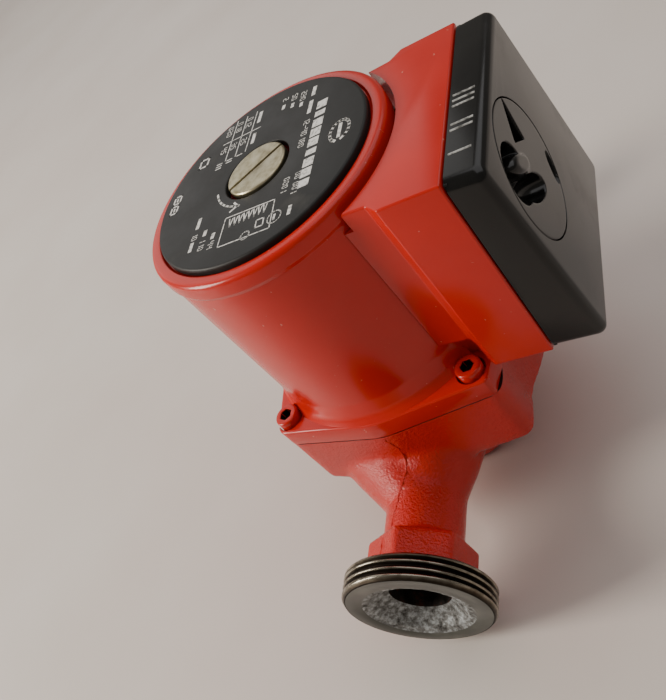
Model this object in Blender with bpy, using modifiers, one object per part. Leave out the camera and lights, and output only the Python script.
"""Circulator pump for heating water: a wet-rotor pump with three speeds.

Metres, +Z up. The origin is the centre of the flat pad on the back of the pump housing. The motor
axis is +Z, the pipe axis runs along X and the terminal box stands on the +Y side.
"""

from math import acos, atan2, cos, pi, radians, sin, sqrt

import bmesh
import bpy
from mathutils import Matrix, Vector

# ---- Driving dimensions -------------------------------------------------------------------------

# Pump housing
port_span = 0.180            # from one union face to the other
pipe_height = 0.028          # pipe axis above the back pad
housing_rise = 0.0295        # joint plane above the pipe axis
flange_margin = 0.0033       # how far the flange's round sides stand out past the motor
corner_radius = 0.0050       # flange corner round a cap screw away from the box
column_drop = 0.0245         # height of the corner columns under the joint plane
back_pad_radius = 0.0235
union_radius = 0.0239        # G 1 1/2 thread crest
union_length = 0.0084
thread_pitch = 0.00231
thread_depth = 0.0013
port_bore_radius = 0.010
port_mouth_radius = 0.0155
port_mouth_depth = 0.005
neck_width = 0.026
spanner_radius = 0.0176      # corner radius of the spanner hexagon
spanner_length = 0.0125
flange_land = 0.010          # ring of metal round the volute, up to the flange's edge
volute_depth = 0.018
chamber_radius = 0.0135      # suction chamber under the impeller's eye

# Motor
flange_thickness = 0.0075
motor_length = 0.0778        # joint plane to the top of the rim
motor_radius = 0.0417
rim_step = 0.0007            # how far the rolled rim stands out past the motor
rim_width = 0.0042
rim_height = 0.0055
motor_wall = 0.0027
can_radius = 0.026
can_wall = 0.0008
shaft_radius = 0.00475
bearing_length = 0.0087
nameplate_margin = 0.0007    # black gap between the nameplate and the rim
nameplate_thickness = 0.0028

# Cap screws, M5
cap_head_radius = 0.00425
cap_head_height = 0.005
cap_thread_radius = 0.0023
cap_seat_depth = 0.0026      # counterbore in the flange
cap_length = 0.018
cap_socket_radius = 0.0023
cap_socket_depth = 0.0026
cap_clear = 0.00185          # between a cap screw's head and the motor

# Vent screw
vent_head_radius = 0.0103
vent_head_height = 0.0043
vent_shank_radius = 0.0076
vent_shank_length = 0.0115
vent_slot_width = 0.0013
vent_slot_depth = 0.0015

# Terminal box and cover
box_width = 0.0696
box_height = 0.0676
box_depth = 0.0183           # from the motor's side to the front edge of the box
box_side_depth = 0.0187      # how far back the straight side walls go from the front edge
box_wall = 0.0025
cover_width = 0.0690
cover_height = 0.0667
cover_depth = 0.0118         # at mid height
cover_slope = 0.079          # the front leans back by this per metre of height
cover_wall = 0.0022
cover_round = 0.003
seal_thickness = 0.001

# Speed selector
knob_radius = 0.0197
knob_thickness = 0.0085
knob_x = 0.0105
knob_margin = 0.0038         # between the knob and the top of the box
knob_step = 36.0             # degrees from one speed to the next
grip_half_width = 0.0055
scoop_radius = 0.012
stem_radius = 0.0045

# Cable gland, M16
gland_thread_radius = 0.008
gland_bore_radius = 0.0052
gland_hex_radius = 0.0105
gland_nut_length = 0.012

# Clearances
gap = 0.0003                 # between pieces that rest on each other or are cut by each other
running_gap = 0.0001         # shaft in its bearings
press_gap = 0.0001           # pieces that are pressed or screwed onto the shaft

# ---- Levels worked out from them ----------------------------------------------------------------

drum_radius = motor_radius + flange_margin
screw_offset = (motor_radius + cap_clear + cap_head_radius) / sqrt(2)   # of each cap screw
volute_radius = drum_radius - flange_land
rim_radius = motor_radius + rim_step
nameplate_radius = rim_radius - rim_width - nameplate_margin
box_front = motor_radius + box_depth
box_side_back = box_front - box_side_depth
joint_z = pipe_height + housing_rise
flange_top = joint_z + flange_thickness
rim_top = joint_z + motor_length
column_bottom = joint_z - column_drop
volute_floor = joint_z - volute_depth
plate_seat = joint_z - 0.0028
nameplate_seat = rim_top - 0.0012
motor_roof = nameplate_seat - 0.0031       # underside of the motor's end wall
can_flange = joint_z + 2 * gap
can_pocket_top = motor_roof - 0.0102
can_shoulder = can_pocket_top - bearing_length - 0.0013
hub_top = joint_z + bearing_length - 0.0002
thrust_top = hub_top + 0.0034
rotor_bottom = thrust_top + 0.0006
rotor_top = can_shoulder - can_wall - 0.003
core_bottom = joint_z + 0.015
core_top = can_shoulder - 0.0063
eye_radius = 0.013
impeller_radius = volute_radius - 0.004
box_bottom = flange_top
box_top = box_bottom + box_height
box_middle = (box_top + box_bottom) / 2
cover_back = box_front + seal_thickness + 2 * gap
lean = Vector((0, 1, cover_slope)).normalized()
ROUND = 48
MEDIUM = 32
SMALL = 20
TINY = 12

# ---- Scene and collections ----------------------------------------------------------------------

for leftover in list(bpy.data.objects):
    bpy.data.objects.remove(leftover, do_unlink=True)

parts = bpy.data.collections.new("circulator_pump")
cutters = bpy.data.collections.new("cutters")
bpy.context.scene.collection.children.link(parts)
bpy.context.scene.collection.children.link(cutters)


def linear(channel):
    """One sRGB channel, 0 to 255, as linear light."""
    value = channel / 255
    return value / 12.92 if value <= 0.04045 else ((value + 0.055) / 1.055) ** 2.4


def material(name, colour, roughness, metallic=0.0):
    made = bpy.data.materials.new(name)
    made.use_nodes = True
    shader = made.node_tree.nodes["Principled BSDF"]
    red, green, blue = (int(colour[start:start + 2], 16) for start in (0, 2, 4))
    shader.inputs["Base Color"].default_value = (linear(red), linear(green), linear(blue), 1)
    shader.inputs["Roughness"].default_value = roughness
    shader.inputs["Metallic"].default_value = metallic
    return made


red_iron = material("red_painted_cast_iron", "B8281C", 0.35)
red_paint = material("red_painted_aluminium", "C42C1E", 0.28)
black_plastic = material("black_plastic", "1D1D1C", 0.32)
black_plate = material("black_nameplate", "262626", 0.45)
dark_rubber = material("black_rubber", "161616", 0.8)
zinc_steel = material("zinc_plated_steel", "B9B6AC", 0.35, 1.0)
nickel_brass = material("nickel_plated_brass", "B4A98C", 0.3, 1.0)
stainless = material("stainless_steel", "B8BABB", 0.28, 1.0)
lamination_steel = material("lamination_steel", "6E6F70", 0.5, 1.0)
copper = material("enamelled_copper", "A6582E", 0.35, 0.8)
ceramic = material("white_ceramic", "E8E4D8", 0.3)
carbon = material("carbon_graphite", "2B2B2C", 0.5)
composite = material("glass_filled_composite", "4A4640", 0.5)
grey_plastic = material("grey_plastic", "8F9293", 0.4)
fibre_gasket = material("fibre_gasket", "2E2C28", 0.9)
brown_wire = material("brown_wire", "5A3420", 0.45)
blue_wire = material("blue_wire", "2A4C8C", 0.45)
black_wire = material("black_wire", "1A1A1A", 0.45)


# ---- Ways of making a shape ---------------------------------------------------------------------

def add(name, mesh, surface, group=parts):
    made = bpy.data.objects.new(name, mesh)
    group.objects.link(made)
    if surface is not None:
        mesh.materials.append(surface)
    if group is cutters:
        made.hide_render = True
        made.display_type = "WIRE"
    return made


def smoothed(mesh):
    mesh.shade_smooth()
    mesh.set_sharp_from_angle(angle=radians(35))


def baked(made):
    """The object's evaluated mesh in place of its own mesh and modifiers."""
    bpy.context.view_layer.update()
    evaluated = made.evaluated_get(bpy.context.evaluated_depsgraph_get())
    mesh = bpy.data.meshes.new_from_object(evaluated)
    made.modifiers.clear()
    made.data = mesh
    return made


def turned(name, profile, surface, steps=ROUND, group=parts):
    """A profile of (radius, height) turned round Z, listed down its outer side."""
    mesh = bpy.data.meshes.new(name)
    shape = bmesh.new()
    corners = [shape.verts.new((radius, 0, height)) for radius, height in profile]
    for here, there in zip(corners, corners[1:]):
        shape.edges.new((here, there))
    if profile[0][0] > 0 or profile[-1][0] > 0:
        shape.edges.new((corners[-1], corners[0]))
    shape.to_mesh(mesh)
    shape.free()
    made = add(name, mesh, surface, group)
    screw = made.modifiers.new("turn", "SCREW")
    screw.steps = steps
    screw.render_steps = steps
    screw.use_merge_vertices = True
    screw.merge_threshold = 0.00001
    baked(made)
    smoothed(made.data)
    return made


def outline_solid(name, outline, bottom, top, surface, group=parts):
    """A flat outline of (x, y) points raised from one height to another."""
    curve = bpy.data.curves.new(name, "CURVE")
    curve.dimensions = "2D"
    curve.fill_mode = "BOTH"
    curve.extrude = (top - bottom) / 2
    line = curve.splines.new("POLY")
    line.points.add(len(outline) - 1)
    for point, (x, y) in zip(line.points, outline):
        point.co = (x, y, 0, 1)
    line.use_cyclic_u = True
    flat = bpy.data.objects.new(f"{name}_outline", curve)
    flat.location.z = (top + bottom) / 2
    bpy.context.scene.collection.objects.link(flat)
    bpy.context.view_layer.update()
    evaluated = flat.evaluated_get(bpy.context.evaluated_depsgraph_get())
    mesh = bpy.data.meshes.new_from_object(evaluated)
    shape = bmesh.new()
    shape.from_mesh(mesh)
    bmesh.ops.remove_doubles(shape, verts=shape.verts, dist=0.00001)
    bmesh.ops.recalc_face_normals(shape, faces=shape.faces)
    shape.to_mesh(mesh)
    shape.free()
    mesh.materials.clear()
    made = add(name, mesh, surface, group)
    made.matrix_world = flat.matrix_world
    bpy.data.objects.remove(flat, do_unlink=True)
    return made


def block(name, low, high, surface, group=parts):
    """A box from its lowest to its highest corner."""
    mesh = bpy.data.meshes.new(name)
    shape = bmesh.new()
    size = Vector(high) - Vector(low)
    bmesh.ops.create_cube(shape, size=1, matrix=Matrix.Diagonal((*size, 1)))
    shape.to_mesh(mesh)
    shape.free()
    made = add(name, mesh, surface, group)
    made.location = (Vector(high) + Vector(low)) / 2
    return made


def rod(name, start, end, radius, surface, steps=SMALL, group=parts, end_radius=None):
    """A straight bar, or a cone when its far end has a radius of its own."""
    start, end = Vector(start), Vector(end)
    mesh = bpy.data.meshes.new(name)
    shape = bmesh.new()
    far_radius = radius if end_radius is None else end_radius
    bmesh.ops.create_cone(shape, cap_ends=True, segments=steps, radius1=radius, radius2=far_radius,
                          depth=(end - start).length)
    shape.to_mesh(mesh)
    shape.free()
    smoothed(mesh)
    made = add(name, mesh, surface, group)
    made.rotation_euler = (end - start).to_track_quat("Z", "Y").to_euler()
    made.location = (start + end) / 2
    return made


def hull(name, rings, steps=SMALL, group=cutters):
    """The skin stretched over rings that stand across X, each of (centre, radius)."""
    mesh = bpy.data.meshes.new(name)
    shape = bmesh.new()
    for centre, radius in rings:
        place = Matrix.Translation(centre) @ Matrix.Rotation(pi / 2, 4, "Y")
        bmesh.ops.create_circle(shape, segments=steps, radius=radius, matrix=place)
    bmesh.ops.convex_hull(shape, input=shape.verts)
    bmesh.ops.recalc_face_normals(shape, faces=shape.faces)
    shape.to_mesh(mesh)
    shape.free()
    return add(name, mesh, None, group)


def joined(made, others, way="UNION"):
    for other in others:
        tool = made.modifiers.new(f"{way.lower()}_{other.name}", "BOOLEAN")
        tool.operation = way
        tool.object = other
    return made


def cut(made, others):
    return joined(made, others, "DIFFERENCE")


def finished(made):
    """Booleans carried out, and round faces shaded smooth."""
    baked(made)
    smoothed(made.data)
    return made


def softened(made, width, steps=1):
    """Sharp edges rounded to the given width."""
    bevel = made.modifiers.new("soft_edges", "BEVEL")
    bevel.width = width
    bevel.segments = steps
    bevel.limit_method = "ANGLE"
    bevel.angle_limit = radians(40)
    return made


def arc(centre, radius, first, last, count):
    """Points along an arc, from one angle to another in radians."""
    turn = (last - first) / (count - 1)
    return [(centre[0] + radius * cos(first + turn * step),
             centre[1] + radius * sin(first + turn * step)) for step in range(count)]


def holder(name, place, rotation=(0, 0, 0)):
    """An empty on a joint's axis, which the moving pieces hang from."""
    made = bpy.data.objects.new(name, None)
    made.location = place
    made.rotation_euler = rotation
    parts.objects.link(made)
    bpy.context.view_layer.update()
    return made


def hang(pieces, parent):
    bpy.context.view_layer.update()
    for piece in pieces:
        place = piece.matrix_world.copy()
        piece.parent = parent
        piece.matrix_parent_inverse = parent.matrix_world.inverted()
        piece.matrix_world = place


def corners_of_square(offset):
    return [(offset, offset), (-offset, offset), (-offset, -offset), (offset, -offset)]


# ---- Pump housing -------------------------------------------------------------------------------

def flange_outline(radius, offset, front, back, corner_out):
    """A bulged square round the four cap screws, closer to the two screws away from the box."""
    points = []
    for index, centre in enumerate(corners_of_square(offset)):
        sx, sy = (1 if centre[0] > 0 else -1), (1 if centre[1] > 0 else -1)
        if sy > 0:
            middle, corner = (centre[0] + sx * corner_out, centre[1] + corner_out), front
        else:
            middle, corner = (centre[0] + sx * 0.0012, centre[1]), back
        turn = radians(45 + 90 * index)
        points += arc(middle, corner, turn - radians(38), turn + radians(38), 7)
        side = radians(90 + 90 * index)
        depth = radius if index != 2 else radius - 0.0026
        points += arc((0, 0), depth, side - 0.07, side + 0.07, 3)
    return points


def block_outline_of(outline, radius, offset):
    """The flange outline with a waist between the drum and the column at each box-side screw."""
    waist = [(offset + 0.0034, offset + 0.0064), (offset + 0.0012, offset + 0.0069),
             (offset - 0.0028, offset + 0.0068), (offset - 0.0088, offset + 0.0061),
             (offset - 0.0128, offset + 0.0066)]
    crown = [(radius * sin(radians(22 - 4 * step)), radius * cos(radians(22 - 4 * step)))
             for step in range(12)]
    right = [point for point in outline if not (point[1] > offset + 0.0045
                                                or (abs(point[0]) < offset and point[1] > 0))]
    first = max(range(len(right)), key=lambda i: atan2(right[i][1], right[i][0]) < pi / 2
                and atan2(right[i][1], right[i][0]))
    turned_on = right[first + 1:] + right[:first + 1]
    return turned_on + waist + crown + [(-x, y) for x, y in waist[::-1]]


def square_outline(width, corner, count=4):
    """A rounded square, as (x, y) points."""
    points = []
    for index, centre in enumerate(corners_of_square(width / 2 - corner)):
        first = radians(90 * index)
        points += arc(centre, corner, first, first + pi / 2, count)
    return points


def union_profile(face_x):
    """The threaded end turned round the pipe axis: V grooves between a chamfer and the neck."""
    root = union_radius - thread_depth
    back = face_x - union_length
    crests = int((union_length - 0.0018) / thread_pitch)
    profile = [(union_radius - 0.0014, face_x), (union_radius, face_x - 0.0014)]
    edge = face_x - 0.0018
    for turn in range(crests):
        middle = edge - thread_pitch * (turn + 0.5)
        profile += [(union_radius, middle + thread_pitch * 0.42), (root, middle)]
    profile += [(union_radius, back + 0.0006), (union_radius - 0.0006, back)]
    return profile


def lay_along_x(made, sign):
    """Turns a shape made round Z so that it points along +X or -X at the pipe's height."""
    made.rotation_euler = (0, sign * pi / 2, 0)
    made.location = (0, 0, pipe_height)
    return made


face = port_span / 2
spanner_end = face - union_length
flange_shape = flange_outline(drum_radius, screw_offset, 0.0025, corner_radius, 0.0030)
block_outline = block_outline_of(flange_shape, drum_radius, screw_offset)
housing = outline_solid("pump_housing", block_outline, column_bottom, joint_z, red_iron)

forms = []
back_dome = turned("back_dome", [
    (0, column_bottom + 0.004), (0.0370, column_bottom + 0.004), (0.0370, column_bottom - 0.002),
    (0.0320, 0.017), (0.0272, 0.006), (0.0258, 0.002), (back_pad_radius, 0), (0, 0),
], None, ROUND, cutters)
forms.append(back_dome)
neck = outline_solid("neck_bar", square_outline(neck_width, 0.012, 8), -spanner_end - gap,
                     spanner_end + gap, None, cutters)
forms.append(lay_along_x(neck, 1))
for sign, side in ((1, "outlet"), (-1, "inlet")):
    spanner = rod(f"{side}_spanner_form", (sign * (spanner_end - spanner_length), 0, pipe_height),
                  (sign * (spanner_end + gap), 0, pipe_height), spanner_radius, None, 6, cutters)
    spanner.rotation_euler.rotate_axis("Z", radians(30))
    thread = turned(f"{side}_thread_form", [(0, face), *union_profile(face),
                                            (0, face - union_length)], None, 40, cutters)
    forms += [spanner, lay_along_x(thread, sign)]
outlet_flare = hull("outlet_flare", [
    (Vector((0.014, -0.0175, pipe_height + 0.005)), 0.0170),
    (Vector((0.0425, -0.0105, pipe_height + 0.002)), 0.0180),
    (Vector((0.061, 0, pipe_height)), neck_width / 2),
])
inlet_flare = hull("inlet_flare", [
    (Vector((-0.026, 0, pipe_height - 0.003)), 0.0180),
    (Vector((-0.058, 0, pipe_height)), neck_width / 2),
])
forms += [outlet_flare, inlet_flare]
joined(housing, forms)
finished(housing)

waterways = [
    turned("volute_cavity", [
        (0, joint_z + 0.001), (volute_radius + 0.002, joint_z + 0.001),
        (volute_radius + 0.002, plate_seat), (volute_radius, plate_seat),
        (volute_radius, volute_floor + 0.003), (volute_radius - 0.003, volute_floor),
        (0, volute_floor),
    ], None, ROUND, cutters),
    turned("eye_and_chamber", [
        (0, volute_floor + 0.001), (0.0178, volute_floor + 0.001), (0.0178, volute_floor - 0.0025),
        (chamber_radius + 0.0005, volute_floor - 0.0025), (chamber_radius, volute_floor - 0.007),
        (chamber_radius, 0.017), (chamber_radius - 0.004, 0.009), (0, 0.007),
    ], None, MEDIUM, cutters),
    hull("discharge_sweep", [
        (Vector((0.0285, -0.0125, joint_z - 0.0135)), 0.0085),
        (Vector((0.043, -0.008, pipe_height + 0.005)), 0.0095),
        (Vector((0.0585, 0, pipe_height)), port_bore_radius - 0.0006),
    ], 28),
]
for sign, side, depth in ((1, "discharge", 0.0545), (-1, "suction", 0.004)):
    bore = turned(f"{side}_bore", [
        (0, face + 0.001), (port_mouth_radius, face + 0.001), (port_mouth_radius, face),
        (port_bore_radius, face - port_mouth_depth), (port_bore_radius, depth), (0, depth),
    ], None, MEDIUM, cutters)
    waterways.append(lay_along_x(bore, sign))
for index, (x, y) in enumerate(corners_of_square(screw_offset)):
    waterways.append(rod(f"tapped_hole_{index + 1}", (x, y, joint_z - cap_length),
                         (x, y, joint_z + 0.001), cap_thread_radius + gap, None, TINY, cutters))
cut(housing, waterways)
finished(housing)

turned("wear_ring", [
    (0.0175, volute_floor + 0.0016), (0.0175, volute_floor - 0.0022),
    (eye_radius + 0.0023, volute_floor - 0.0022), (eye_radius + 0.0023, volute_floor + 0.0016),
], stainless, MEDIUM)

gasket_outer = volute_radius + 0.0065
gasket_inner = volute_radius + 0.0045
turned("housing_gasket", [
    (gasket_outer, joint_z + gap * 0.9), (gasket_outer, joint_z - 0.0012 + gap),
    (gasket_inner, joint_z - 0.0012 + gap), (gasket_inner, joint_z + gap * 0.9),
], fibre_gasket, ROUND)
gasket_groove = turned("gasket_groove", [
    (gasket_outer + gap, joint_z + 0.001), (gasket_outer + gap, joint_z - 0.0012),
    (gasket_inner - gap, joint_z - 0.0012), (gasket_inner - gap, joint_z + 0.001),
], None, ROUND, cutters)
cut(housing, [gasket_groove])
finished(housing)

# ---- Rotor, impeller and bearings ---------------------------------------------------------------

shaft_bottom = volute_floor + 0.0004
shaft_top = can_pocket_top - can_wall - 0.0012
shaft = turned("shaft", [
    (0, shaft_top), (shaft_radius - 0.0006, shaft_top), (shaft_radius, shaft_top - 0.0006),
    (shaft_radius, shaft_bottom + 0.0006), (shaft_radius - 0.0006, shaft_bottom),
    (0, shaft_bottom),
], ceramic, MEDIUM)
rotor = turned("rotor", [
    (can_radius - can_wall - 0.0006, rotor_top), (can_radius - can_wall - 0.0006, rotor_bottom),
    (shaft_radius + press_gap, rotor_bottom), (shaft_radius + press_gap, rotor_top),
], stainless, MEDIUM)
thrust_ring = turned("thrust_ring", [
    (0.0095, thrust_top), (0.0095, hub_top + 0.0004), (shaft_radius + press_gap, hub_top + 0.0004),
    (shaft_radius + press_gap, thrust_top),
], carbon, MEDIUM)

bearing_bore = shaft_radius + running_gap
bearing_outer = 0.009
upper_bearing_outer = 0.0115
turned("lower_bearing", [
    (bearing_outer, hub_top), (bearing_outer, hub_top - bearing_length),
    (bearing_bore, hub_top - bearing_length), (bearing_bore, hub_top),
], ceramic, MEDIUM)
turned("upper_bearing", [
    (upper_bearing_outer, can_shoulder + bearing_length), (upper_bearing_outer, can_shoulder),
    (bearing_bore, can_shoulder), (bearing_bore, can_shoulder + bearing_length),
], ceramic, MEDIUM)

plate_bottom = plate_seat + gap
plate_top = joint_z - 0.0009
turned("bearing_plate", [
    (volute_radius + 0.0017, plate_top), (volute_radius + 0.0017, plate_bottom),
    (shaft_radius + 0.0008, plate_bottom), (shaft_radius + 0.0008, hub_top - bearing_length - gap),
    (bearing_outer + gap, hub_top - bearing_length - gap), (bearing_outer + gap, hub_top),
    (bearing_outer + 0.0022, hub_top), (bearing_outer + 0.0032, plate_top + 0.0012),
    (bearing_outer + 0.006, plate_top),
], stainless, 40)

eye_top = volute_floor + 0.006
impeller_top = plate_bottom - 0.0015
back_shroud = impeller_top - 0.0017
impeller = turned("impeller", [
    (shaft_radius + press_gap, impeller_top), (impeller_radius, impeller_top),
    (impeller_radius, back_shroud), (0.0085, back_shroud), (0.0072, shaft_bottom + 0.0014),
    (shaft_radius + press_gap, shaft_bottom + 0.0014),
], composite, 40)
impeller_forms = [turned("front_shroud", [
    (eye_radius + 0.002, eye_top), (impeller_radius, eye_top - 0.0006),
    (impeller_radius, eye_top - 0.0022), (eye_radius + 0.0045, eye_top - 0.0018),
    (eye_radius + 0.002, eye_top - 0.003), (eye_radius + 0.002, volute_floor - 0.0015),
    (eye_radius, volute_floor - 0.0015), (eye_radius, eye_top),
], None, ROUND, cutters)]
blade_count = 6
for index in range(blade_count):
    start = 2 * pi * index / blade_count
    mid_line = [((eye_radius - 0.002) + (impeller_radius - eye_radius + 0.0015) * step / 5,
                 start - 1.1 * step / 5) for step in range(6)]
    outer_side = [(r * cos(a), r * sin(a)) for r, a in mid_line]
    inner_side = [(r * cos(a + 0.0016 / r), r * sin(a + 0.0016 / r)) for r, a in mid_line]
    impeller_forms.append(outline_solid(f"blade_{index + 1}", outer_side + inner_side[::-1],
                                        eye_top - 0.0009, back_shroud + 0.0005, None, cutters))
joined(impeller, impeller_forms)
finished(impeller)

rotor_axis = holder("rotor_axis", (0, 0, joint_z))
hang([shaft, rotor, thrust_ring, impeller], rotor_axis)

# ---- Rotor can and vent -------------------------------------------------------------------------

can_flange_radius = motor_radius - motor_wall + 0.0004
neck_outer = vent_shank_radius + 0.0036
pocket_radius = upper_bearing_outer + gap
turned("rotor_can", [
    (neck_outer, motor_roof + 0.0003), (neck_outer, can_pocket_top - 0.0002),
    (pocket_radius + can_wall, can_pocket_top - 0.0008),
    (pocket_radius + can_wall, can_shoulder + 0.0004), (can_radius, can_shoulder - 0.0002),
    (can_radius, can_flange + can_wall), (can_flange_radius, can_flange + can_wall),
    (can_flange_radius, can_flange), (can_radius - can_wall, can_flange),
    (can_radius - can_wall, can_shoulder - can_wall - 0.0002),
    (pocket_radius, can_shoulder - can_wall), (pocket_radius, can_pocket_top - can_wall),
    (vent_shank_radius + gap, can_pocket_top - can_wall),
    (vent_shank_radius + gap, motor_roof + 0.0003),
], stainless, ROUND)

seal_bottom = motor_roof + 2 * gap
seal_top = seal_bottom + 0.0018
vent_head_bottom = nameplate_seat + nameplate_thickness + 0.0007 - vent_head_height
vent_seal = turned("vent_seal", [
    (0.0099, vent_head_bottom - 0.0005), (0.0103, vent_head_bottom - 0.0008),
    (0.0103, seal_bottom + 0.0003), (0.0099, seal_bottom),
    (vent_shank_radius + gap, seal_bottom), (vent_shank_radius + gap, vent_head_bottom - 0.0005),
], dark_rubber, MEDIUM)
vent_top = vent_head_bottom + vent_head_height
vent_screw = turned("vent_screw", [
    (0, vent_top), (vent_head_radius - 0.0006, vent_top), (vent_head_radius, vent_top - 0.0006),
    (vent_head_radius, vent_head_bottom), (vent_shank_radius, vent_head_bottom),
    (vent_shank_radius, vent_head_bottom - vent_shank_length + 0.001),
    (vent_shank_radius - 0.001, vent_head_bottom - vent_shank_length),
    (0, vent_head_bottom - vent_shank_length),
], nickel_brass, MEDIUM)
vent_slot = block("vent_slot", (-vent_slot_width / 2, -vent_head_radius - 0.001,
                                vent_top - vent_slot_depth),
                  (vent_slot_width / 2, vent_head_radius + 0.001, vent_top + 0.001), None, cutters)
vent_slot.rotation_euler.z = radians(35)
cut(vent_screw, [vent_slot])
finished(vent_screw)
vent_axis = holder("vent_axis", (0, 0, vent_head_bottom))
hang([vent_seal, vent_screw], vent_axis)

# ---- Stator -------------------------------------------------------------------------------------

stator_outer = motor_radius - motor_wall - gap
turned("stator_core", [
    (stator_outer, core_top), (stator_outer, core_bottom), (can_radius + gap, core_bottom),
    (can_radius + gap, core_top),
], lamination_steel, ROUND)
for name, low, high in (("winding_lower", can_flange + can_wall + 0.002, core_bottom - gap),
                        ("winding_upper", core_top + gap, core_top + 0.012)):
    turned(name, [
        (stator_outer - 0.004, high), (stator_outer - 0.0012, high - 0.003),
        (stator_outer - 0.0012, low + 0.003), (stator_outer - 0.004, low), (can_radius + 0.003, low),
        (can_radius + 0.001, low + 0.002), (can_radius + 0.001, high - 0.002),
        (can_radius + 0.003, high),
    ], copper, 40)

def box_outline(wall, back_radius, front):
    """The box seen along the motor axis, drawn in by a wall: straight sides, a 45 degree turn
    towards the motor and a hollow of the given radius against the motor."""
    half = box_width / 2 - wall
    line = box_side_back - box_width / 2 + wall * (sqrt(2) - 1) * 2.4
    x_end = (sqrt(2 * back_radius ** 2 - line ** 2) - line) / 2
    y_end = x_end + line
    end_angle = atan2(y_end, x_end)
    hollow = arc((0, 0), back_radius, end_angle, pi - end_angle, 17)
    return [(-half, half + line), (-half, front), (half, front), (half, half + line), *hollow]


inner_radius = motor_radius - motor_wall
stator_housing = turned("stator_housing", [
    (rim_radius - rim_width, rim_top), (rim_radius - 0.0016, rim_top),
    (rim_radius - 0.0004, rim_top - 0.0006), (rim_radius, rim_top - 0.0018),
    (rim_radius, rim_top - rim_height), (motor_radius, rim_top - rim_height - 0.0008),
    (motor_radius, flange_top + 0.006), (motor_radius + 0.0007, flange_top + 0.003),
    (motor_radius + 0.0018, flange_top + 0.001), (drum_radius - 0.0004, flange_top - 0.0003),
    (drum_radius - 0.0004, flange_top - 0.003), (inner_radius, flange_top - 0.003),
    (inner_radius, motor_roof), (neck_outer + 0.0008, motor_roof),
    (neck_outer + 0.0008, nameplate_seat), (rim_radius - rim_width, nameplate_seat),
], red_paint)
flange = outline_solid("motor_flange", flange_shape, joint_z + gap, flange_top, None, cutters)
flange_bore = rod("motor_flange_bore", (0, 0, joint_z - 0.001), (0, 0, flange_top + 0.001),
                  inner_radius + 0.001, None, ROUND, cutters)
cut(flange, [flange_bore])
joined(stator_housing, [flange])
finished(stator_housing)

grommet_z = core_top + 0.0065
box_screw_levels = (core_bottom + 0.0055, core_top - 0.0055)
far_side = [(x, y - 0.0002) for x, y in flange_shape if y < -screw_offset - 0.0025]
far_side += [(far_side[-1][0], -drum_radius * 1.5), (far_side[0][0], -drum_radius * 1.5)]
motor_holes = [outline_solid("box_foot_relief",
                             box_outline(-0.0005, motor_radius + 0.0001, box_front),
                             flange_top + 0.0001, flange_top + 0.0065, None, cutters),
               outline_solid("foot_trim", far_side, flange_top - 0.005, flange_top + 0.006, None,
                             cutters)]
for index, (x, y) in enumerate(corners_of_square(screw_offset)):
    motor_holes.append(rod(f"flange_hole_{index + 1}", (x, y, joint_z - 0.001),
                           (x, y, flange_top + 0.001), cap_thread_radius + 2 * gap, None, TINY,
                           cutters))
    motor_holes.append(rod(f"counterbore_{index + 1}", (x, y, flange_top - cap_seat_depth),
                           (x, y, flange_top + 0.012), cap_head_radius + 2 * gap, None, SMALL,
                           cutters))
motor_holes.append(rod("lead_hole", (0, inner_radius - 0.002, grommet_z),
                       (0, motor_radius + 0.002, grommet_z), 0.005, None, SMALL, cutters))
for index, level in enumerate(box_screw_levels):
    motor_holes.append(rod(f"box_screw_hole_{index + 1}", (0, inner_radius - 0.002, level),
                           (0, motor_radius + 0.002, level), 0.0019, None, TINY, cutters))
cut(stator_housing, motor_holes)
finished(stator_housing)

turned("nameplate", [
    (nameplate_radius - 0.0008, nameplate_seat + nameplate_thickness),
    (nameplate_radius, nameplate_seat + nameplate_thickness - 0.0008),
    (nameplate_radius, nameplate_seat + gap), (vent_head_radius + 0.0012, nameplate_seat + gap),
    (vent_head_radius + 0.0012, nameplate_seat + nameplate_thickness),
], black_plate)

# ---- Cap screws ---------------------------------------------------------------------------------

seat = flange_top - cap_seat_depth + gap
for index, (x, y) in enumerate(corners_of_square(screw_offset)):
    cap_screw = turned(f"cap_screw_{index + 1}", [
        (0, seat + cap_head_height), (cap_head_radius - 0.0005, seat + cap_head_height),
        (cap_head_radius, seat + cap_head_height - 0.0005), (cap_head_radius, seat),
        (cap_thread_radius, seat), (cap_thread_radius, seat - cap_length),
        (0, seat - cap_length),
    ], red_paint, SMALL)
    cap_screw.location = (x, y, 0)
    socket_top = seat + cap_head_height + 0.001
    socket = rod(f"hex_socket_{index + 1}", (x, y, seat + cap_head_height - cap_socket_depth),
                 (x, y, socket_top), cap_socket_radius, None, 6, cutters)
    cut(cap_screw, [socket])
    finished(cap_screw)

# ---- Terminal box -------------------------------------------------------------------------------

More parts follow.
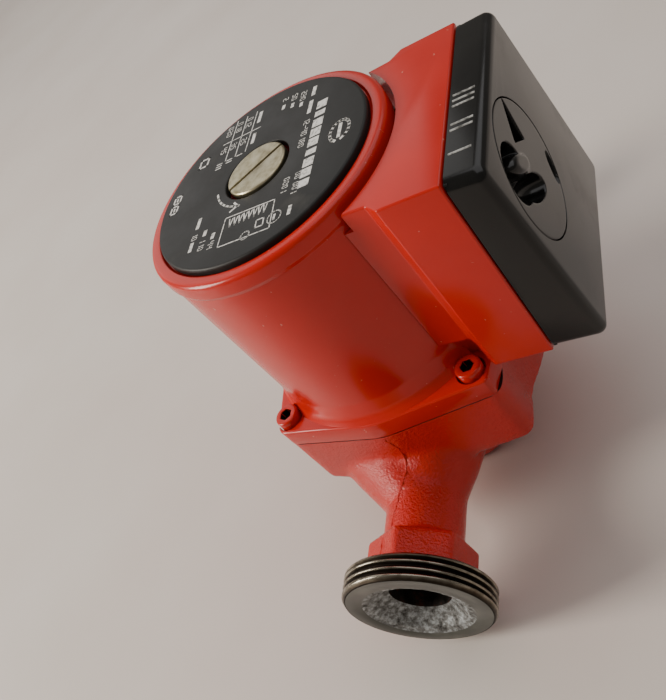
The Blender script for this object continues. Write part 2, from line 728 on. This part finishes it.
terminal_box = outline_solid("terminal_box", box_outline(0, motor_radius + gap, box_front),
                             box_bottom + gap, box_top, red_paint)
box_pocket = outline_solid("box_pocket",
                           box_outline(box_wall, motor_radius + box_wall, box_front + 0.001),
                           box_bottom + gap + box_wall, box_top - box_wall, None, cutters)
rim_clearance = rod("rim_clearance", (0, 0, rim_top - rim_height - 0.0035), (0, 0, rim_top),
                    rim_radius + 0.0018, None, ROUND, cutters)
box_cuts = [box_pocket, rim_clearance]
for x, y in corners_of_square(screw_offset)[:2]:
    box_cuts.append(rod("screw_notch", (x, y, flange_top - 0.001),
                        (x, y, flange_top + 0.0095), cap_head_radius + 0.0027, None, SMALL,
                        cutters))
box_cuts.append(rod("grommet_hole", (0, motor_radius - 0.002, grommet_z),
                    (0, motor_radius + 0.006, grommet_z), 0.005, None, SMALL, cutters))
for level in box_screw_levels:
    box_cuts.append(rod("box_screw_clearance", (0, motor_radius - 0.002, level),
                        (0, motor_radius + 0.006, level), 0.0019, None, TINY, cutters))
gland_y = (box_side_back + box_front) / 2 + 0.0005
gland_z = box_bottom + 0.0165
box_side = box_width / 2
box_cuts.append(rod("gland_hole", (-box_side - 0.001, gland_y, gland_z),
                    (-box_side + box_wall + 0.001, gland_y, gland_z), gland_thread_radius + gap,
                    None, SMALL, cutters))
cut(terminal_box, box_cuts)
finished(terminal_box)

box_floor = motor_radius + box_wall          # inner face of the box wall that meets the motor
for index, level in enumerate(box_screw_levels):
    box_screw = turned(f"box_screw_{index + 1}", [
        (0, 0.0022), (0.0024, 0.0022), (0.0034, 0.0012), (0.0034, 0), (0.0016, 0),
        (0.0016, -box_wall - motor_wall + 0.0002), (0, -box_wall - motor_wall + 0.0002),
    ], zinc_steel, TINY)
    box_screw.rotation_euler = (-pi / 2, 0, 0)
    box_screw.location = (0, box_floor + gap, level)

grommet = turned("lead_grommet", [
    (0.0062, 0.0023), (0.0062, 0.0004), (0.0047, 0.0004), (0.0047, -box_wall - motor_wall),
    (0.0033, -box_wall - motor_wall), (0.0033, 0.0023),
], dark_rubber, SMALL)
grommet.rotation_euler = (-pi / 2, 0, 0)
grommet.location = (0, box_floor, grommet_z)

# ---- What the terminal box holds ----------------------------------------------------------------

back_plane = box_floor + 0.0008
knob_z = box_top - knob_margin - knob_radius
cover_face = cover_back + cover_depth - (knob_z - box_middle) * cover_slope
knob_centre = Vector((knob_x, cover_face, knob_z))
knob_tilt = atan2(cover_slope, 1)
well_radius = knob_radius + gap
well_depth = knob_thickness + gap
well_floor_wall = 0.0016

capacitor_side = box_width / 2 - box_wall - 0.0023
capacitor = block("capacitor", (-capacitor_side, back_plane + 0.0015, box_top - 0.034),
                  (0.018 - capacitor_side, box_front - 0.001, box_top - 0.005), grey_plastic)
softened(capacitor, 0.0012, 2)

switch_front = knob_centre.y - well_depth - well_floor_wall - 0.0042
switch_side = knob_x - 0.006
speed_switch = block("speed_switch", (switch_side, back_plane + 0.0022, knob_z - 0.013),
                     (knob_x + 0.012, switch_front, knob_z + 0.013), grey_plastic)
spindle_pocket = rod("spindle_pocket", knob_centre - lean * 0.0205, knob_centre, 0.0033, None,
                     SMALL, cutters)
cut(speed_switch, [spindle_pocket])
finished(speed_switch)

block_low = box_bottom + 0.0065
block_top = block_low + 0.011
terminal_block = block("terminal_block", (switch_side, back_plane + 0.0008, block_low),
                       (switch_side + 0.025, box_front - 0.006, block_top), grey_plastic)
clamp_places = [switch_side + 0.0045 + 0.008 * index for index in range(3)]
clamp_z = block_low + 0.0055
cut(terminal_block, [rod(f"clamp_hole_{index + 1}", (x, box_front - 0.0115, clamp_z),
                         (x, box_front, clamp_z), 0.0027, None, TINY, cutters)
                     for index, x in enumerate(clamp_places)])
finished(terminal_block)


def slotted_screw(name, head_radius, shank_radius, head_height, length, surface):
    """A small pan head screw made round Z, with its slot, whose head stands on z = 0."""
    made = turned(name, [
        (0, head_height), (head_radius - 0.0005, head_height), (head_radius, head_height - 0.0005),
        (head_radius, 0), (shank_radius, 0), (shank_radius, -length), (0, -length),
    ], surface, TINY)
    slot = block(f"{name}_slot", (-0.0004, -head_radius - 0.001, head_height - 0.0007),
                 (0.0004, head_radius + 0.001, head_height + 0.001), None, cutters)
    cut(made, [slot])
    finished(made)
    made.rotation_euler = (-pi / 2, 0, 0)
    return made


for index, x in enumerate(clamp_places):
    clamp_screw = slotted_screw(f"clamp_screw_{index + 1}", 0.0023, 0.0014, 0.0016, 0.0035,
                                zinc_steel)
    clamp_screw.location = (x, box_front - 0.0078, clamp_z)
earth_x = -0.0145
earth_boss_front = back_plane + 0.004
earth_screw = slotted_screw("earth_screw", 0.0034, 0.0018, 0.002, 0.005, zinc_steel)
earth_screw.location = (earth_x, earth_boss_front + 0.0045, box_bottom + 0.0125)
earth_nut = rod("earth_terminal", (earth_x, back_plane + 0.0012, box_bottom + 0.0125),
                (earth_x, earth_boss_front + 0.004, box_bottom + 0.0125), 0.0042, nickel_brass, 6)
cut(earth_nut, [rod("earth_thread", (earth_x, back_plane + 0.002, box_bottom + 0.0125),
                    (earth_x, earth_boss_front + 0.006, box_bottom + 0.0125), 0.0021, None, TINY,
                    cutters)])
finished(earth_nut)


def lead(name, route, radius, surface):
    """A lead wire on a smooth curve through the given points."""
    smooth = []
    for index in range(len(route) - 1):
        before = Vector(route[max(index - 1, 0)])
        here = Vector(route[index])
        there = Vector(route[index + 1])
        after = Vector(route[min(index + 2, len(route) - 1)])
        for step in range(4):
            t = step / 4
            smooth.append(0.5 * (2 * here + (there - before) * t
                                 + (2 * before - 5 * here + 4 * there - after) * t ** 2
                                 + (3 * here - before - 3 * there + after) * t ** 3))
    smooth.append(Vector(route[-1]))
    curve = bpy.data.curves.new(name, "CURVE")
    curve.dimensions = "3D"
    curve.bevel_depth = radius
    curve.bevel_resolution = 2
    curve.use_fill_caps = True
    line = curve.splines.new("POLY")
    line.points.add(len(smooth) - 1)
    for point, place in zip(line.points, smooth):
        point.co = (*place, 1)
    curve.materials.append(surface)
    made = bpy.data.objects.new(name, curve)
    parts.objects.link(made)
    return made


lead_radius = 0.0008
exit_y = inner_radius + 0.0006
lead("lead_to_capacitor", [
    (-0.0016, exit_y, grommet_z), (-0.0016, box_floor + 0.0040, grommet_z),
    (-0.0045, box_floor + 0.0085, grommet_z - 0.001),
    (-0.0080, box_floor + 0.0095, grommet_z - 0.0045),
    (0.0187 - capacitor_side, box_floor + 0.0095, grommet_z - 0.006),
], lead_radius, black_wire)
lead("lead_to_switch", [
    (0.0016, exit_y, grommet_z + 0.0004), (0.0014, box_floor + 0.0032, grommet_z + 0.0003),
    (0.0012, box_floor + 0.0065, grommet_z - 0.001), (switch_side - 0.0005, box_floor + 0.0085,
                                                     grommet_z - 0.0025),
], lead_radius, brown_wire)
lead("lead_to_terminals", [
    (0, exit_y, grommet_z - 0.0019), (0, box_floor + 0.0036, grommet_z - 0.0022),
    (-0.0058, box_floor + 0.0062, grommet_z - 0.010), (-0.0050, box_floor + 0.0070, block_top + 0.009),
    (0.0020, box_floor + 0.0070, block_top + 0.0055),
    (clamp_places[0], box_floor + 0.0065, block_top + 0.0042),
    (clamp_places[0] + 0.0002, box_floor + 0.0065, block_top + 0.0008),
], lead_radius, blue_wire)

# ---- Cover, seal and speed selector -------------------------------------------------------------

def rectangle_ring(name, half_x, half_z, width, low_y, high_y, surface, group=parts):
    """A flat frame round the box's opening."""
    frame = block(name, (-half_x, low_y, box_middle - half_z), (half_x, high_y, box_middle + half_z),
                  surface, group)
    hole = block(f"{name}_hole", (-half_x + width, low_y - 0.001, box_middle - half_z + width),
                 (half_x - width, high_y + 0.001, box_middle + half_z - width), None, cutters)
    cut(frame, [hole])
    return finished(frame)


seal_half = cover_width / 2 - 0.0007
rectangle_ring("cover_seal", seal_half, cover_height / 2 - 0.0007, 0.0016, box_front + gap,
               box_front + gap + seal_thickness, dark_rubber)


def wedge(name, half_x, half_z, back, depth, surface, group=parts):
    """A box whose front leans back as it rises."""
    made = block(name, (-half_x, back, box_middle - half_z), (half_x, back + depth,
                 box_middle + half_z), surface, group)
    shape = bmesh.new()
    shape.from_mesh(made.data)
    for vertex in shape.verts:
        if vertex.co.y > 0:
            vertex.co.y -= vertex.co.z * cover_slope
    shape.to_mesh(made.data)
    shape.free()
    return made


cover = wedge("terminal_cover", cover_width / 2, cover_height / 2, cover_back, cover_depth,
              black_plastic)
round_edges = softened(cover, cover_round, 3).modifiers[-1]
round_edges.limit_method = "WEIGHT"
weights = cover.data.attributes.new("bevel_weight_edge", "FLOAT", "EDGE")
for edge in cover.data.edges:
    ends = [cover.data.vertices[index].co for index in edge.vertices]
    weights.data[edge.index].value = 0.0 if all(point.y < 0 for point in ends) else 1.0
finished(cover)
cover_inside = wedge("cover_inside", cover_width / 2 - cover_wall, cover_height / 2 - cover_wall,
                     cover_back - 0.001, cover_depth + 0.001 - cover_wall, None, cutters)
cut(cover, [cover_inside])
finished(cover)
well_cup = rod("well_cup", knob_centre - lean * (well_depth + well_floor_wall),
               knob_centre - lean * 0.001, well_radius + 0.0016, None, ROUND, cutters)
well_trim = wedge("well_trim", cover_width / 2 - 0.0005, cover_height / 2 - 0.0005,
                  cover_back - 0.02, cover_depth + 0.02 - 0.0005, None, cutters)
well_cup_shape = joined(well_cup, [well_trim], "INTERSECT")
joined(cover, [finished(well_cup_shape)])
finished(cover)
cover_cuts = [
    rod("knob_well", knob_centre - lean * well_depth, knob_centre + lean * 0.004, well_radius, None,
        ROUND, cutters),
    rod("stem_hole", knob_centre - lean * 0.020, knob_centre, stem_radius + gap, None, SMALL,
        cutters),
]
cut(cover, cover_cuts)
finished(cover)
cover_top = box_middle + cover_height / 2
mark_groups = ((0.0006, 3), (0.0126, 2), (0.0240, 1))
marks = []
for first_x, count in mark_groups:
    for index in range(count):
        x = first_x + 0.0023 * index
        marks.append(block(f"speed_mark_{len(marks) + 1}", (x - 0.0003, cover_back + 0.001,
                           cover_top - 0.0008), (x + 0.0003, cover_back + 0.0070,
                           cover_top + 0.0003), None, cutters))
joined(cover, marks)
finished(cover)

knob = turned("speed_knob", [
    (0, 0), (knob_radius - 0.0006, 0), (knob_radius, -0.0006), (knob_radius, -knob_thickness),
    (stem_radius, -knob_thickness), (stem_radius, -knob_thickness - well_floor_wall - 0.0025),
    (0, -knob_thickness - well_floor_wall - 0.0025),
], black_plastic, ROUND)
scoops = []
for side in (1, -1):
    scoop_centre = side * (grip_half_width + scoop_radius - 0.0008)
    mesh = bpy.data.meshes.new("finger_scoop")
    shape = bmesh.new()
    bmesh.ops.create_uvsphere(shape, u_segments=20, v_segments=12, radius=scoop_radius)
    bmesh.ops.scale(shape, verts=shape.verts, vec=(1, 1.05, 0.58))
    shape.to_mesh(mesh)
    shape.free()
    scoop = add("finger_scoop", mesh, None, cutters)
    scoop.location = (scoop_centre, 0, 0.0008)
    scoops.append(scoop)
pointer = outline_solid("pointer_groove", [(0, knob_radius - 0.0012), (-0.0019, 0.006),
                                           (0.0019, 0.006)], -0.0016, 0.001, None, cutters)
scoops.append(pointer)
cut(knob, scoops)
finished(knob)
knob.matrix_world = (Matrix.Translation(knob_centre)
                     @ Matrix.Rotation(knob_tilt - pi / 2, 4, "X")
                     @ Matrix.Rotation(pi - radians(knob_step), 4, "Z"))
spindle_top = knob_thickness + well_floor_wall + 0.0025 + gap
spindle = rod("switch_spindle", knob_centre - lean * 0.0198, knob_centre - lean * spindle_top,
              0.0029, grey_plastic, SMALL)
knob_axis = holder("knob_axis", knob_centre, (knob_tilt, 0, 0))
hang([knob, spindle], knob_axis)

# ---- Cable gland --------------------------------------------------------------------------------

def gland_piece(name, profile, surface, steps=SMALL):
    made = turned(name, profile, surface, steps)
    made.rotation_euler = (0, -pi / 2, 0)
    made.location = (-box_side, gland_y, gland_z)
    return made


gland_body = gland_piece("gland_body", [
    (gland_thread_radius, 0.0125), (gland_thread_radius, 0.0045), (gland_hex_radius, 0.0045),
    (gland_hex_radius, gap), (gland_thread_radius, gap), (gland_thread_radius, -box_wall - 0.0008),
    (gland_bore_radius, -box_wall - 0.0008), (gland_bore_radius, 0.0065), (0.0068, 0.0065),
    (0.0068, 0.0125),
], black_plastic)
gland_piece("gland_seal", [
    (0.0065, 0.0122), (0.0065, 0.0068), (0.0042, 0.0068), (0.0042, 0.0122),
], dark_rubber)
gland_piece("gland_nut", [
    (gland_hex_radius - 0.0028, 0.0048 + gland_nut_length),
    (gland_hex_radius - 0.0004, 0.0025 + gland_nut_length), (gland_hex_radius - 0.0004, 0.0052),
    (gland_thread_radius + gap, 0.0052), (gland_thread_radius + gap, 0.0135), (0.0048, 0.0135),
    (0.0048, 0.0048 + gland_nut_length),
], black_plastic)
